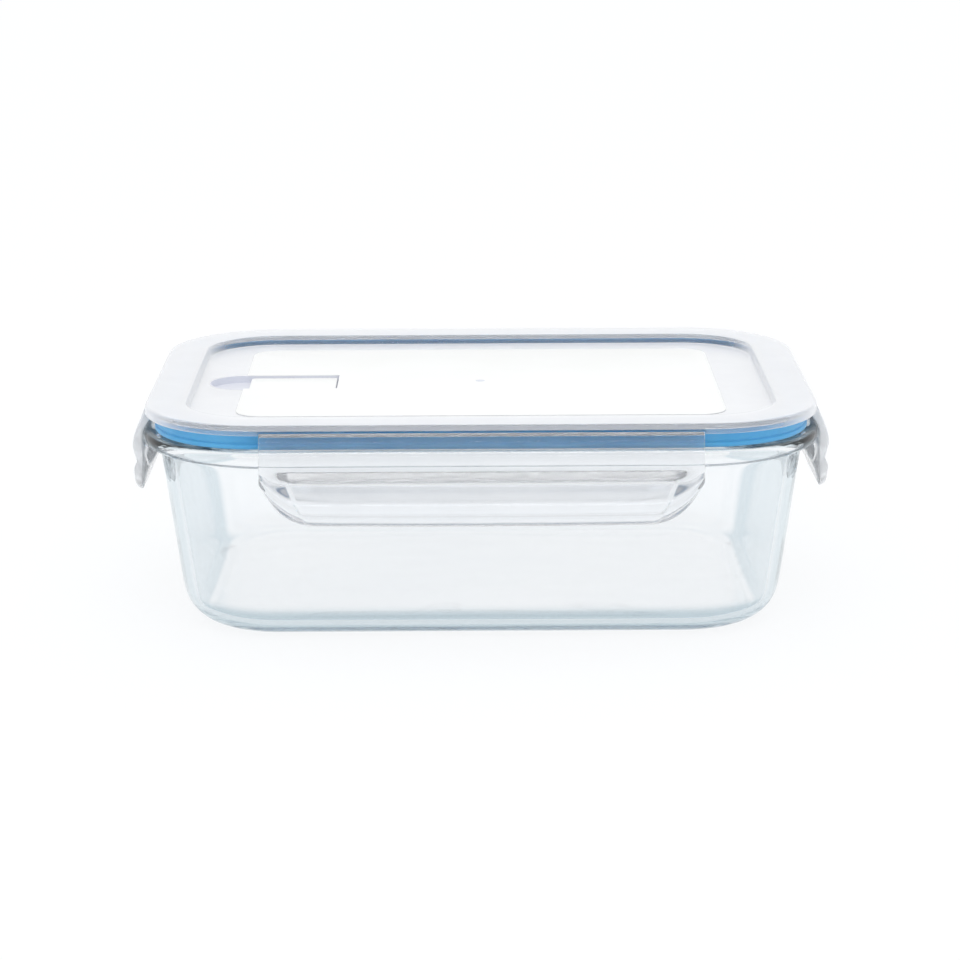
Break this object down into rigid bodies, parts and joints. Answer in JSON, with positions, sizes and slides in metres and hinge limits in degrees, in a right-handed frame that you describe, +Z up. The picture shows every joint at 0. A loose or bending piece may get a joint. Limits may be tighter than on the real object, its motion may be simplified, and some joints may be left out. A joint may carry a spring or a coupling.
{
  "type": "glass storage container",
  "caption": "Rectangular glass food container with rounded corners, a translucent snap lid with hinged latches, a blue ring seal and a steam vent flap.",
  "frame": {"origin": "centre of the dish's flat foot, on the surface it stands on", "axes": "+X along the long side, -Y towards the side with the long front latch, +Z up"},
  "size_m": [0.2212, 0.1618, 0.072],
  "materials": {
    "clear_glass": "gloss",
    "frosted_plastic": "satin",
    "blue_silicone": "satin"
  },
  "bodies": {
    "dish": {"glass_dish": "clear_glass"},
    "lid": {"lid_shell": "frosted_plastic", "gasket": "blue_silicone"},
    "front_latch": {"front_latch": "frosted_plastic"},
    "back_latch": {"back_latch": "frosted_plastic"},
    "left_latch": {"left_latch": "frosted_plastic"},
    "right_latch": {"right_latch": "frosted_plastic"},
    "vent_flap": {"vent_flap": "frosted_plastic", "vent_seal": "blue_silicone"}
  },
  "joints": [
    {"name": "lid_lift", "type": "slide", "parent": "dish", "child": "lid", "axis": [0, 0, 1], "range_m": [0, 0.1]},
    {"name": "front_latch_swing", "type": "hinge", "parent": "lid", "child": "front_latch", "pos_m": [0, -0.0765, 0.0698], "axis": [-1, 0, 0], "range_deg": [0, 130]},
    {"name": "back_latch_swing", "type": "hinge", "parent": "lid", "child": "back_latch", "pos_m": [0, 0.0765, 0.0698], "axis": [1, 0, 0], "range_deg": [0, 130]},
    {"name": "left_latch_swing", "type": "hinge", "parent": "lid", "child": "left_latch", "pos_m": [-0.1062, 0, 0.0698], "axis": [0, 1, 0], "range_deg": [0, 130]},
    {"name": "right_latch_swing", "type": "hinge", "parent": "lid", "child": "right_latch", "pos_m": [0.1062, 0, 0.0698], "axis": [0, -1, 0], "range_deg": [0, 130]},
    {"name": "vent_flap_swing", "type": "hinge", "parent": "lid", "child": "vent_flap", "pos_m": [-0.047, 0, 0.0684], "axis": [0, 1, 0], "range_deg": [0, 100]}
  ]
}
